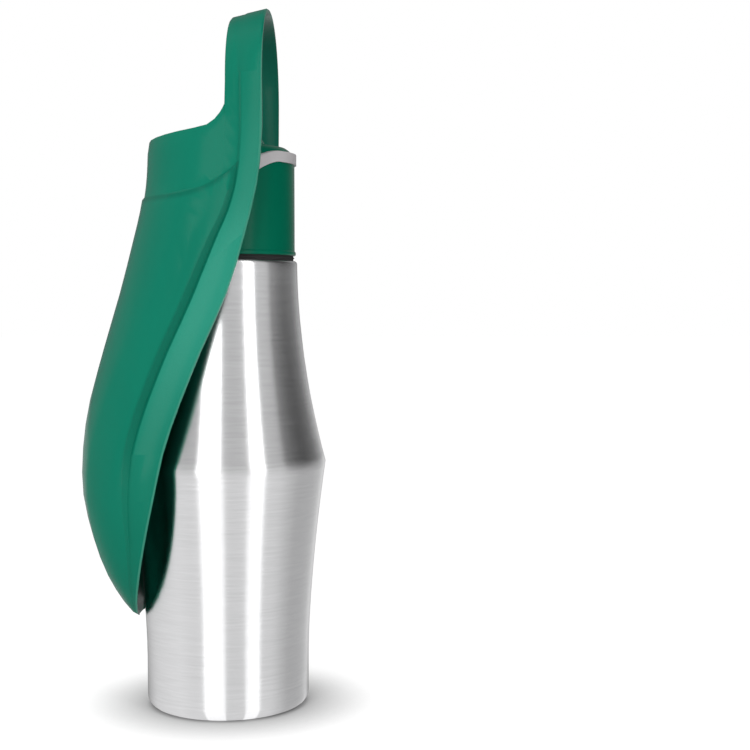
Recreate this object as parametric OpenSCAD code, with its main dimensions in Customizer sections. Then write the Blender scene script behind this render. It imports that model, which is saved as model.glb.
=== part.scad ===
// Travel water bottle for a dog: a single-wall steel bottle whose screw cap carries a twist valve
// and a leaf-shaped drinking scoop. The scoop hangs folded behind the bottle and swings over the cap
// on two pins; its upper end is a carrying loop.
// Frame: millimetres, +Z up, the front faces -Y, the scoop hangs on the +Y side, and the origin is
// on the bottle's axis in the plane of its foot.

/* [Bottle] */
// Height of the steel body, from the foot to the shoulder
body_h = 184.7; // [180:0.1:192]
// Diameter of the straight foot
foot_d = 67.4; // [64:0.2:69]
// Height at which the foot starts to swell
foot_h = 20; // [12:1:28]
// Height of the crease at the waist
waist_h = 101.5; // [94:0.5:108]
// Diameter of the crease at the waist
waist_d = 82; // [76:0.5:86]
// Diameter of the body at the shoulder
shoulder_d = 58.6; // [56:0.2:60]
// How hollow the swell below the waist is
lower_flare = 1.6; // [1.2:0.05:2]
// How hollow the neck-in above the waist is
upper_flare = 1.9; // [1.4:0.05:2.2]
// Thickness of the steel
steel_t = 0.8; // [0.6:0.1:1.2]
// Radius of the foot's lower corner
foot_corner = 4.5; // [3:0.5:6]
// Radius of the shoulder's edge
shoulder_edge = 1.4; // [0.8:0.1:2]
// Outer diameter of the neck
neck_d = 46.8; // [44:0.2:47.4]
// Height of the neck above the shoulder
neck_h = 22.3; // [19:0.1:25]
// Width of the flat ring that the bottle stands on
foot_ring = 2.6; // [2:0.1:4]
// How far the dished base rises inside the foot
dish_rise = 3.6; // [2:0.1:6]

/* [Gaskets] */
// Thickness of the ring under the cap
gasket_t = 2; // [1.4:0.1:2.6]
// Gap between the ring and the steel shoulder
gasket_gap = 0.15; // [0.1:0.05:0.3]
// Thickness of the washer on the mouth of the bottle
mouth_seal_t = 2.2; // [1.6:0.1:2.6]
// Gap between the washer and the bottle's mouth
mouth_gap = 0.2; // [0.1:0.05:0.4]

/* [Cap] */
// Outer diameter of the cap
cap_d = 56.6; // [56:0.2:58]
// Wall of the cap's skirt
cap_t = 2.3; // [2:0.1:2.8]
// How far the lip at the cap's lower edge stands out
cap_lip = 0.45; // [0.2:0.05:0.8]
// Height of the cap, from its lower edge to its deck
cap_h = 44.9; // [43:0.1:48]
// Height of the rounded shoulder under the deck
dome_h = 7.2; // [5:0.1:9]
// Diameter at which the deck becomes flat
deck_d = 41; // [38:0.5:46]
// Thickness of the deck in its middle
deck_t = 3.4; // [3:0.1:4]
// Gap between the threaded liner and the neck
thread_gap = 0.4; // [0.3:0.05:0.8]
// Thickness of the liner's top
liner_top_t = 2.8; // [2:0.1:3.4]
// Inner diameter of the water tube inside the cap
tube_d = 25; // [22:0.5:28]
// Wall of the water tube
tube_t = 1.8; // [1.4:0.1:2.4]

/* [Hinge] */
// Height of the hinge axis above the cap's lower edge
pivot_up = 31.4; // [30:0.1:33]
// Radius of the round ears on the cap's sides
ear_r = 10.2; // [8:0.1:10.6]
// How far the ears stand out from the cap's sides
ear_out = 1.9; // [1.4:0.1:2.4]
// Diameter of the hinge pins
pin_d = 4; // [3:0.1:5]
// Running clearance round the pins in the ears, on the radius
pin_gap = 0.05; // [0.03:0.01:0.1]
// How far each pin reaches into its ear
pin_bite = 5; // [4:0.1:6]
// How far each pin reaches into the scoop's arm
pin_seat = 2.2; // [1.8:0.1:2.4]
// Gap between an ear and the cheek inside the scoop's arm
cheek_gap = 2.2; // [1.8:0.1:2.8]
// Diameter of the boss round each pin
boss_d = 8.4; // [7:0.1:9.4]
// Gap between a boss and its ear
boss_gap = 0.9; // [0.4:0.1:1.4]

/* [Collar seal] */
// Width of the pale strap across the cap's front
strap_w = 4.3; // [3.6:0.1:5]
// How far the strap stands out from the cap
strap_out = 0.75; // [0.4:0.05:1]
// How deep the strap lies in its groove
strap_in = 0.9; // [0.6:0.1:1.1]
// Height of the strap's top edge above the hinge axis
strap_up = 10.2; // [9.6:0.1:11.2]
// Width of the bend that takes the strap down to the ears
strap_bend = 13; // [10:0.5:14]
// Height of that bend
strap_fall = 11; // [9:0.5:12]
// Length of the strap's straight ends below the bend
strap_tail = 0.7; // [0.2:0.1:2.4]

/* [Valve] */
// Diameter of the dial
dial_d = 31.6; // [30:0.2:33]
// Height of the dial above the deck
dial_h = 5.2; // [4.8:0.1:7]
// Diameter of the dial's flat top
dial_top_d = 21; // [20:0.5:23]
// Diameter of the silicone disc under the dial
disc_d = 26.8; // [25:0.2:28]
// Thickness of the silicone disc
disc_t = 1.6; // [1.2:0.1:2]
// Running clearance under the dial
dial_gap = 0.1; // [0.1:0.05:0.3]
// Diameter of the water port
port_d = 8; // [6:0.5:8]
// Diameter of the air port
vent_d = 3; // [2:0.5:5]
// Distance of both ports from the dial's axis
port_r = 8.2; // [8:0.1:8.6]
// Diameter of the dial's stem
stem_d = 6; // [5:0.2:6.4]
// Thickness of the O-ring on the stem
oring_t = 1.1; // [0.9:0.1:1.4]
// Diameter of the screw in the stem
screw_d = 3; // [2.5:0.1:3.5]
// Diameter of the screw's head
screw_head_d = 5.6; // [5:0.2:6.4]
// Height of the screw's head
screw_head_h = 2; // [1.6:0.1:2.4]
// Diameter of the washer that holds the stem
washer_d = 12; // [10:0.5:14]
// Thickness of that washer
washer_t = 1.2; // [1:0.1:1.6]

/* [Scoop] */
// Length of the scoop below the hinge axis
leaf_drop = 181.5; // [174:0.5:186]
// Widest outer width of the leaf
leaf_w = 85.2; // [82:0.2:88]
// How far the leaf's back stands behind the bottle's axis
leaf_back = 58.3; // [56:0.1:62]
// Gap between the leaf's tip and the bottle
tip_gap = 2.2; // [1.5:0.1:3]
// Wall of the leaf
leaf_t = 2.2; // [1.8:0.1:2.6]
// Wall of the arms, the loop and the collar
loop_t = 2.4; // [2.2:0.1:2.8]
// Gap between the cap and the collar behind it
collar_gap = 1.3; // [1.2:0.1:1.8]
// How far the leaf stands out below the collar's step
ledge = 1.2; // [0.6:0.1:1.6]
// How hollow the leaf's four panels are
panel_dip = 0.8; // [0:0.1:1.2]
// Width of the raised rail along the rim
rail_w = 8.2; // [6:0.1:9]
// How far the rail stands out
rail_out = 1; // [0.6:0.1:1.4]
// Height of the loop's top above the hinge axis
loop_up = 69.8; // [66:0.2:76]
// Outer width of the loop
loop_w = 80; // [78:0.2:84]
// Depth of the loop, front to back
loop_depth = 14.7; // [13:0.1:16]
// How far the loop's front edge stands before the bottle's axis
loop_front = 18.7; // [17.5:0.1:20]
// How much the loop widens towards the front on each side
loop_flare = 3.4; // [2:0.1:4]
// How much the arms widen towards the front on each side
arm_flare = 2.2; // [1.5:0.1:3]
// Height of the collar's rim above the hinge axis at the back
rim_up = 14.2; // [13:0.1:18]
// Radius of the bend between the collar's rim and the loop
rim_bend = 11; // [8:0.5:12]

/* [Hidden] */
round_fn = 96;

steel = [0.74, 0.75, 0.76];
pine = [0.08, 0.49, 0.38];
cap_green = [0.04, 0.40, 0.31];
pale = [0.80, 0.77, 0.78];
black = [0.06, 0.06, 0.06];
milky = [0.90, 0.91, 0.88];

foot_r = foot_d / 2;
waist_r = waist_d / 2;
shoulder_r = shoulder_d / 2;
neck_r = neck_d / 2;
neck_top = body_h + neck_h;
neck_root = 1;
lip_w = 1.6;
lip_under = 1;
mouth_round = 0.6;
edge_start = 15;
foot_in = foot_r - foot_corner - foot_ring;
weld_w = 2.2;
dish_land = 1;
dish_slope = 5;
over = 1;

gasket_in = 0.2;
gasket_fit = 0.2;
gasket_rib = 0.35;
seal_fit = 0.1;
seal_open = 0.6;

cap_r = cap_d / 2;
cap_z = body_h + gasket_gap + gasket_t;
deck_z = cap_z + cap_h;
deck_r = deck_d / 2;
cap_in = cap_r - cap_t;
dome_z = deck_z - dome_h;
fit = 0.05;
seat_z = neck_top + mouth_gap + mouth_seal_t;
liner_top = seat_z + liner_top_t;
liner_low = 1.3;
liner_r = cap_in - fit;
tube_r = tube_d / 2;
lip_h = 1.3;
lip_slope = 0.6;
lip_edge = 0.3;
ear_root = 0.6;
boss_root = 0.4;
pin_floor = 1.4;

pivot_z = cap_z + pivot_up;
ear_x = cap_r + ear_out;
pin_r = pin_d / 2;
cheek_x = ear_x + cheek_gap;
ear_boss_wall = 2.6;

strap_top = pivot_z + strap_up;
strap_power = 1.6;
strap_x = ear_x - strap_w / 2 - 0.1;

disc_sink = 0.8;
disc_fit = 0.2;
disc_z = deck_z - disc_sink;
dial_floor = disc_z + disc_t + dial_gap;
dial_z = deck_z + dial_gap;
under_deck = deck_z - deck_t;
stem_gap = 0.1;
stem_z = under_deck - 0.2;
stem_r = stem_d / 2;
oring_seat = 1.3;
screw_r = screw_d / 2;
dial_side = 1.3;
dial_power = 1.55;
dial_steps = 8;
dial_clear = 0.3;
flange_h = 0.5;
flange_out = 0.4;
screw_end = 0.4;
screw_fit = 0.1;
socket_depth = 1;

// ---- The bottle ----

function body_r(z) =
    z < foot_h ? foot_r
    : z < waist_h ? foot_r
        + (waist_r - foot_r) * pow((z - foot_h) / (waist_h - foot_h), lower_flare)
    : shoulder_r + (waist_r - shoulder_r)
        * pow(max(body_h - z, 0) / (body_h - waist_h), upper_flare);

// Points of an arc about [x, y] from angle a to angle b, both included
function arc(x, y, r, a, b, n) =
    [for (i = [0:n]) [x + r * cos(a + (b - a) * i / n), y + r * sin(a + (b - a) * i / n)]];

body_steps = 13;
function body_heights() = concat(
    [for (i = [0:body_steps]) foot_h + (waist_h - foot_h) * i / body_steps],
    [for (i = [1:body_steps]) waist_h + (body_h - shoulder_edge - waist_h) * i / body_steps]
);

module bottle_shell() {
    heights = body_heights();
    last = len(heights) - 1;
    top_r = body_r(body_h - shoulder_edge);
    outside = concat(
        [[foot_in, 0]],
        arc(foot_r - foot_corner, foot_corner, foot_corner, -90, 0, 6),
        [for (z = heights) [body_r(z), z]],
        arc(top_r - shoulder_edge, body_h - shoulder_edge, shoulder_edge, edge_start, 90, 4),
        arc(neck_r + neck_root, body_h + neck_root, neck_root, 270, 180, 3),
        arc(neck_r - mouth_round, neck_top - mouth_round, mouth_round, 0, 90, 3)
    );
    inside = concat(
        [[neck_r - lip_w, neck_top], [neck_r - lip_w, neck_top - steel_t]],
        [[neck_r - steel_t, neck_top - steel_t - lip_under], [neck_r - steel_t, body_h - steel_t]],
        [[top_r - shoulder_edge, body_h - steel_t]],
        [for (i = [last:-1:0]) [body_r(heights[i]) - steel_t, heights[i]]],
        arc(foot_r - foot_corner, foot_corner, foot_corner - steel_t, 0, -90, 6),
        [[foot_in, steel_t]]
    );
    color(steel)
        rotate_extrude($fn = round_fn)
            polygon(concat(outside, inside));
}

module base_dish() {
    top = steel_t + dish_rise;
    land = foot_in - dish_land;
    color(steel)
        rotate_extrude($fn = round_fn)
            polygon([
                [foot_in + weld_w, steel_t],
                [foot_in + weld_w, 2 * steel_t],
                [land, 2 * steel_t],
                [land - dish_slope, top],
                [0, top],
                [0, top - steel_t],
                [land - dish_slope, top - steel_t],
                [land, steel_t]
            ]);
}

// The ring under the cap, with a rib round the middle of its edge
module neck_gasket() {
    edge = cap_r - gasket_in;
    mid = gasket_t / 2;
    color(black)
        translate([0, 0, body_h + gasket_gap])
            difference() {
                rotate_extrude($fn = round_fn)
                    polygon([
                        [0, 0],
                        [edge - gasket_rib, 0],
                        [edge - gasket_rib, mid - gasket_rib],
                        [edge, mid - gasket_rib / 2],
                        [edge, mid + gasket_rib / 2],
                        [edge - gasket_rib, mid + gasket_rib],
                        [edge - gasket_rib, gasket_t],
                        [0, gasket_t]
                    ]);
                translate([0, 0, -over])
                    cylinder(r = neck_r + neck_root + gasket_fit, h = gasket_t + 2 * over, $fn = round_fn);
            }
}

// ---- The cap ----

dome_power = 2.2;
dome_steps = 8;
// Points of the cap's rounded shoulder, from the skirt's top to the deck, grown by g
function dome(g, n) = [
    for (i = [0:n])
        let (
            t = i / n,
            side = pow(1 - pow(t, dome_power), 1 / dome_power)
        )
        [deck_r + (cap_r - deck_r) * side + g * side, dome_z + dome_h * t + g * t]
];

// A round bar along X through the hinge axis, between x = a and x = b
module axle(r, a, b) {
    translate([min(a, b), 0, pivot_z])
        rotate([0, 90, 0])
            cylinder(r = r, h = abs(b - a), $fn = round_fn);
}

// Points of one of the strap's bends about [x, y], rx wide and ry high, from angle a to angle b
function strap_curve(x, y, rx, ry, a, b, n) = [
    for (i = [0:n])
        let (t = a + (b - a) * i / n)
        [
            x + rx * sign(cos(t)) * pow(abs(cos(t)), 2 / strap_power),
            y + ry * pow(sin(t), 2 / strap_power)
        ]
];

// The strap's outline seen from the front: flat across the cap, then down to each ear
module strap_outline(grow) {
    half = strap_x + strap_w / 2;
    x = half - strap_bend;
    y = strap_top - strap_fall;
    rx = strap_bend + grow;
    ry = strap_fall + grow;
    inner_rx = strap_bend - strap_w - grow;
    inner_ry = strap_fall - strap_w - grow;
    low = y - strap_tail - grow;
    polygon(concat(
        [[x + rx, low]],
        strap_curve(x, y, rx, ry, 0, 90, 10),
        strap_curve(-x, y, rx, ry, 90, 180, 10),
        [[-x - rx, low], [-x - inner_rx, low]],
        strap_curve(-x, y, inner_rx, inner_ry, 180, 90, 8),
        strap_curve(x, y, inner_rx, inner_ry, 90, 0, 8),
        [[x + inner_rx, low]]
    ));
}

// What lies inside the cap's outside face, less d all round, as far as the strap goes
module cap_core(d, length) {
    cylinder(r = cap_r + d, h = length, $fn = round_fn);
    axle(ear_r + d, -ear_x, ear_x);
}

module strap_prism(grow) {
    rotate([90, 0, 0])
        linear_extrude(height = cap_r + ear_r)
            strap_outline(grow);
}

module collar_seal() {
    color(pale)
        difference() {
            intersection() {
                strap_prism(0);
                cap_core(strap_out, deck_z);
            }
            cap_core(-strap_in, deck_z + over);
        }
}

module cap_shell() {
    wall_in = concat(
        [[cap_in, cap_z], [cap_in, dome_z]],
        [for (p = dome(-cap_t, dome_steps - 2)) [min(p[0], cap_in), p[1]]],
        [[tube_r + tube_t, under_deck], [tube_r + tube_t, liner_top], [tube_r, liner_top]],
        [[tube_r, under_deck], [0, under_deck]]
    );
    outside = concat(
        [[0, deck_z]],
        [for (i = [dome_steps:-1:0]) dome(0, dome_steps)[i]],
        [[cap_r, cap_z + lip_h + lip_slope], [cap_r + cap_lip, cap_z + lip_h]],
        [[cap_r + cap_lip, cap_z + lip_edge], [cap_r + cap_lip - lip_edge, cap_z]]
    );
    color(cap_green)
        difference() {
            union() {
                rotate_extrude($fn = round_fn)
                    polygon(concat(wall_in, outside));
                difference() {
                    axle(ear_r, -ear_x, ear_x);
                    translate([0, 0, cap_z])
                        cylinder(r = cap_r - ear_root, h = cap_h, $fn = round_fn);
                }
                for (side = [-1, 1])
                    axle(
                        pin_r + ear_boss_wall,
                        side * (cap_in + boss_root),
                        side * (ear_x - pin_bite - pin_floor)
                    );
            }
            difference() {
                strap_prism(fit);
                cap_core(-strap_in - fit, deck_z + over);
            }
            translate([0, 0, disc_z])
                cylinder(d = disc_d + 2 * disc_fit, h = disc_sink + over, $fn = round_fn);
            translate([0, 0, under_deck - over])
                cylinder(r = stem_r + stem_gap, h = deck_t + 2 * over, $fn = round_fn);
            translate([0, 0, disc_z - oring_seat])
                cylinder(r = stem_r + oring_t + 2 * fit, h = oring_seat + over, $fn = round_fn);
            translate([0, -port_r, under_deck - over])
                cylinder(d = port_d, h = deck_t + 2 * over, $fn = round_fn);
            translate([0, port_r, under_deck - over])
                cylinder(d = vent_d, h = deck_t + 2 * over, $fn = round_fn);
            for (side = [-1, 1])
                axle(pin_r + pin_gap, side * (ear_x + over), side * (ear_x - pin_bite - fit));
        }
}

module cap_liner() {
    color(milky)
        rotate_extrude($fn = round_fn)
            polygon([
                [neck_r + thread_gap, cap_z + liner_low],
                [liner_r, cap_z + liner_low],
                [liner_r, liner_top],
                [tube_r, liner_top],
                [tube_r, seat_z],
                [neck_r + thread_gap, seat_z]
            ]);
}

module mouth_seal() {
    color(pale)
        translate([0, 0, neck_top + mouth_gap])
            difference() {
                cylinder(r = neck_r + thread_gap - seal_fit, h = mouth_seal_t, $fn = round_fn);
                translate([0, 0, -over])
                    cylinder(r = neck_r - lip_w - seal_open, h = mouth_seal_t + 2 * over, $fn = round_fn);
            }
}

// ---- The twist valve ----

module valve_dial() {
    dial_r = dial_d / 2;
    top = dial_z + dial_h;
    shoulder = dial_z + dial_side;
    run = dial_r - dial_top_d / 2;
    rise = dial_h - dial_side;
    flange_r = dial_r + flange_out;
    recess_r = disc_d / 2 + dial_clear;
    color(pine)
        difference() {
            rotate_extrude($fn = round_fn)
                polygon(concat(
                    [[0, stem_z], [stem_r, stem_z], [stem_r, dial_floor]],
                    [[recess_r, dial_floor], [recess_r, dial_z]],
                    [[flange_r, dial_z], [flange_r, dial_z + flange_h], [dial_r, dial_z + flange_h]],
                    [
                        for (i = [0:dial_steps])
                            let (a = 90 * i / dial_steps)
                            [
                                dial_r - run * (1 - pow(cos(a), 2 / dial_power)),
                                shoulder + rise * pow(sin(a), 2 / dial_power)
                            ]
                    ],
                    [[0, top]]
                ));
            translate([-port_r, 0, dial_floor - over])
                cylinder(d = port_d, h = top - dial_floor + 2 * over, $fn = round_fn);
            translate([port_r, 0, dial_floor - over])
                cylinder(d = vent_d, h = top - dial_floor + 2 * over, $fn = round_fn);
            translate([0, 0, stem_z - over])
                cylinder(d = screw_d, h = stem_d + over, $fn = round_fn);
        }
}

module valve_gasket() {
    color(pale)
        translate([0, 0, disc_z])
            difference() {
                cylinder(d = disc_d, h = disc_t, $fn = round_fn);
                translate([0, 0, -over])
                    cylinder(r = stem_r + 2 * stem_gap, h = disc_t + 2 * over, $fn = round_fn);
                translate([0, -port_r, -over])
                    cylinder(d = port_d, h = disc_t + 2 * over, $fn = round_fn);
                translate([0, port_r, -over])
                    cylinder(d = vent_d, h = disc_t + 2 * over, $fn = round_fn);
            }
}

module dial_oring() {
    color(black)
        translate([0, 0, disc_z - oring_seat + oring_t / 2])
            rotate_extrude($fn = round_fn)
                translate([stem_r + fit + oring_t / 2, 0])
                    circle(d = oring_t, $fn = 32);
}

module dial_washer() {
    color(steel)
        translate([0, 0, stem_z - washer_t])
            difference() {
                cylinder(d = washer_d, h = washer_t, $fn = round_fn);
                translate([0, 0, -over])
                    cylinder(d = screw_d + 2 * screw_fit, h = washer_t + 2 * over, $fn = round_fn);
            }
}

module dial_screw() {
    head_z = stem_z - washer_t - screw_head_h;
    color(steel)
        difference() {
            union() {
                translate([0, 0, head_z])
                    cylinder(d = screw_head_d, h = screw_head_h, $fn = round_fn);
                translate([0, 0, head_z + socket_depth])
                    cylinder(
                        d = screw_d,
                        h = stem_z + stem_d - screw_end - head_z - socket_depth,
                        $fn = round_fn
                    );
            }
            translate([0, 0, head_z - over])
                cylinder(d = screw_d, h = socket_depth + over, $fn = 6);
        }
}

// ---- The scoop ----
// Every level section is a U that opens to the front. From its front edge it runs back along a band as
// deep as the loop, which carries the rail, and then goes round the back as half an oval. The band's
// columns carry on above the collar as the loop.

tip_z = pivot_z - leaf_drop;
tip_back = body_r(tip_z) + tip_gap;
collar_back = cap_r + collar_gap + loop_t;
arm_level = 0.9;
wall_share = 0.42;
rail_start = 0.3;
rail_rise = 0.2;
ledge_rise = 0.12;
panel_rise = 0.2;
cheek_proud = 0.3;
arm_half = cheek_x + cheek_proud + loop_t + arm_flare;
leaf_half = leaf_w / 2;
loop_half = loop_w / 2 - rail_out;
widest = 0.33;
band_share = 0.35;
oval = 2.35;
edge_round = 0.6;

// How high z lies on the scoop: 0 at the leaf's tip, 1 at the hinge axis
function level(z) = (z - tip_z) / leaf_drop;
arch_level = 1.195;
arch_z = tip_z + leaf_drop * arch_level;

function span(x, k, i = 0) = i >= len(k) - 2 || x < k[i + 1][0] ? i : span(x, k, i + 1);
function slope(k, i) =
    let (a = max(i - 1, 0), b = min(i + 1, len(k) - 1))
    (k[b][1] - k[a][1]) / (k[b][0] - k[a][0]);
// The value at x of a smooth curve through the knots k, each [x, value]
function curve(x, k) =
    let (
        i = span(x, k),
        w = k[i + 1][0] - k[i][0],
        s = min(max((x - k[i][0]) / w, 0), 1),
        a = k[i][1],
        b = k[i + 1][1],
        da = slope(k, i) * w,
        db = slope(k, i + 1) * w
    )
    a + s * da + s * s * (3 * (b - a) - 2 * da - db) + s * s * s * (2 * (a - b) + da + db);

// The side view: how far back the leaf reaches, and where its rim lies, by level
back_knots = [
    [0, 0], [0.05, 0.24], [0.12, 0.53], [0.19, 0.76], [0.26, 0.92], [widest, 1], [0.47, 0.92],
    [0.61, 0.67], [0.75, 0.385], [0.85, 0.205], [0.93, 0.07], [1, 0], [1.12, -0.03]
];
function back(z) =
    let (h = level(z), low = h < widest ? tip_back : collar_back)
    low + (leaf_back - low) * curve(h, back_knots);
rim_knots = [
    [0, 0], [0.3, 0.228], [0.42, 0.32], [0.6, 0.542], [0.75, 0.757], [0.9, 0.903], [1, 0.974], [1.1, 1]
];
function front(z) = -tip_back + (loop_front + tip_back) * curve(level(z), rim_knots);

// The front view: half the width at the rim, by level
width_knots = [
    [widest, leaf_half],
    [0.54, arm_half + (leaf_half - arm_half) * 0.59],
    [0.68, arm_half + (leaf_half - arm_half) * 0.27],
    [0.82, arm_half + (leaf_half - arm_half) * 0.11],
    [1, arm_half],
    [1.13, (arm_half + loop_half) / 2],
    [arch_level, loop_half]
];
function half_width(z) =
    let (h = level(z))
    h < widest ? leaf_half * sqrt(1 - pow(1 - max(h, 0) / widest, 2)) : curve(h, width_knots);

crease_knots = [[0, 40], [widest, 38], [0.6, 26], [0.85, 18], [1.2, 18]];
function crease(z) = curve(level(z), crease_knots);
function band(z) = min(loop_depth, band_share * (front(z) + back(z)));
function flare(z) =
    (level(z) < 1 ? arm_flare : arm_flare + (loop_flare - arm_flare) * (level(z) - 1) / (arch_level - 1))
    * band(z) / loop_depth;
function wall(z) =
    let (t = level(z) < arm_level ? leaf_t : loop_t)
    min(t, wall_share * (front(z) + back(z)), wall_share * half_width(z));

// Columns of one half, from the front edge to the middle of the back
rail_share = rail_w / loop_depth;
valley = 3;
band_cols = [0, 0.048, rail_share, rail_share + 0.06, 0.75, 0.95, 1];
side_cols = [0.012, 0.05, 0.12, 0.27, 0.52, 1];
back_cols = [for (i = [1:6]) i / 6];
nb = len(band_cols);
ns = len(side_cols);
half_cols = nb + ns + len(back_cols);
cols = 2 * half_cols - 1;

function col_angle(k, z) =
    k < nb ? 0
    : k < nb + ns ? crease(z) * side_cols[k - nb]
    : crease(z) + (90 - crease(z)) * back_cols[k - nb - ns];

// How far column k stands out from the plain form: the rail, the leaf's ledge and its panels
function relief(k, z, on_leaf) =
    let (
        h = level(z),
        rail = rail_out * min(1, max(0, (h - rail_start) / rail_rise)),
        leaf = on_leaf ? ledge * min(1, h / ledge_rise) : 0,
        t = k < nb ? 0 : k < nb + ns ? side_cols[k - nb] : back_cols[k - nb - ns],
        dip = on_leaf ? panel_dip * min(1, h / panel_rise) * 4 * t * (1 - t) : 0
    )
    k == 0 ? rail - min(edge_round, wall(z) / 4) : k < valley ? rail : k == valley ? 0 : leaf - dip;

// The point of column k at height z, out = 1 on the outside and 0 on the inside, grown by g
function section(k, z, out, g) =
    let (
        f = front(z),
        d = band(z),
        w = half_width(z) - (1 - out) * wall(z) + g,
        a = col_angle(k, z),
        fc = f - d,
        reach = fc + back(z) - (1 - out) * wall(z) + g
    )
    k < nb
    ? [w - flare(z) * band_cols[k], -(f - d * band_cols[k]), z]
    : [(w - flare(z)) * pow(cos(a), 2 / oval), -(fc - reach * pow(sin(a), 2 / oval)), z];

// Where the collar's step and its rim lie on column k
step_back = -7.9;
step_front = 6;
step_power = 3.2;
function ref_front(k) = -section(k, pivot_z, 1, 0)[1];
ref_span = loop_front - rail_w + collar_back;
function step_line(k) =
    let (t = min(1, max(0, (ref_front(k) + collar_back) / ref_span)))
    pivot_z + step_back + (step_front - step_back) * pow(t, step_power);
loop_back = loop_front - loop_depth;
rim_slope = 0.15;
function rim_line(k) =
    let (
        f = ref_front(k),
        base = pivot_z + rim_up + rim_slope * (f + collar_back),
        top = pivot_z + rim_up + rim_slope * (loop_back + collar_back),
        s = min(1, max(0, (f - loop_back + rim_bend) / rim_bend))
    )
    k < nb ? arch_z : min(arch_z, base + (arch_z - top) * (1 - sqrt(1 - s * s)));

low_rows = 18;
row_power = 1.35;
leaf_top = pivot_z - 24;
tip_cut = 0.6;
step_h = 1.1;
rows_to_step = 3;
rows_to_rim = 5;
step_row = low_rows + rows_to_step;
rows = step_row + rows_to_rim + 2;

// Height of row r on column k
function row_z(r, k) =
    r <= low_rows ? tip_z + tip_cut + (leaf_top - tip_z - tip_cut) * pow(r / low_rows, row_power)
    : r <= step_row ? leaf_top + (step_line(k) - step_h - leaf_top) * (r - low_rows) / rows_to_step
    : r == step_row + 1 ? step_line(k)
    : r == rows - 1 ? rim_line(k)
    : step_line(k) + (rim_line(k) - edge_round - step_line(k)) * (r - step_row - 1) / rows_to_rim;

function mirror_x(p, side) = [p[0] * side, p[1], p[2]];
function half_col(c) = c < half_cols ? c : cols - 1 - c;
function side_of(c) = c < half_cols ? -1 : 1;

// The tip's inside lies a little higher than its outside, so that the tip is closed
tip_floor = 1.6;
tip_fade = 0.12;
function tip_lift(z) = tip_floor * max(0, 1 - level(z) / tip_fade);

function shell_outer(r, c) =
    let (
        k = half_col(c),
        z = row_z(r, k),
        rounded = r == rows - 1 && k >= nb - 1 ? edge_round : 0
    )
    mirror_x(section(k, z, 1, relief(k, z, r <= step_row) - rounded), side_of(c));
function shell_inner(r, c) =
    let (
        k = half_col(c),
        z = row_z(r, k),
        edge = k == 0 ? min(edge_round, wall(z) / 4) : 0,
        rounded = r == rows - 1 && k >= nb - 1 ? edge_round : 0,
        p = mirror_x(section(k, z, 0, edge + rounded), side_of(c))
    )
    [p[0], p[1], p[2] + tip_lift(z)];

// The loop: row i of its band runs over the arch from the right arm to the left one
arch_rows = 40;
arch_power = 2.15;
arch_rise = loop_up - rail_out - (arch_z - pivot_z);
function arch_point(i, k, off) =
    let (
        a = 180 * i / arch_rows,
        cx = cos(a),
        cz = sin(a),
        x = loop_half * sign(cx) * pow(abs(cx), 2 / arch_power),
        z = arch_rise * pow(cz, 2 / arch_power),
        gx = sign(cx) * pow(abs(x) / loop_half, arch_power - 1) / loop_half,
        gz = pow(z / arch_rise, arch_power - 1) / arch_rise,
        n = norm([gx, gz])
    )
    [x + off * gx / n, -(loop_front - loop_depth * band_cols[k]), arch_z + z + off * gz / n];
arch_rail_low = 0.25;
arch_rail_fade = 1.4;
function arch_rail(i, k) =
    k < valley ? rail_out * max(arch_rail_low, 1 - arch_rail_fade * sin(180 * i / arch_rows)) : 0;
function arch_edge(k) = k == 0 || k == nb - 1 ? edge_round : 0;
function arch_outer(i, k) =
    arch_point(i, k, -loop_flare * band_cols[k] + arch_rail(i, k) - arch_edge(k));
function arch_inner(i, k) =
    arch_point(i, k, -loop_flare * band_cols[k] - loop_t + arch_edge(k));

n_shell = rows * cols;
n_arch = (arch_rows - 1) * nb;
function so(r, c) = r * cols + c;
function si(r, c) = n_shell + r * cols + c;
function ao(i, k) =
    i == 0 ? so(rows - 1, cols - 1 - k)
    : i == arch_rows ? so(rows - 1, k)
    : 2 * n_shell + (i - 1) * nb + k;
function ai(i, k) =
    i == 0 ? si(rows - 1, cols - 1 - k)
    : i == arch_rows ? si(rows - 1, k)
    : 2 * n_shell + n_arch + (i - 1) * nb + k;
function quad(a, b, c, d) = [[a, b, c], [a, c, d]];

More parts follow.
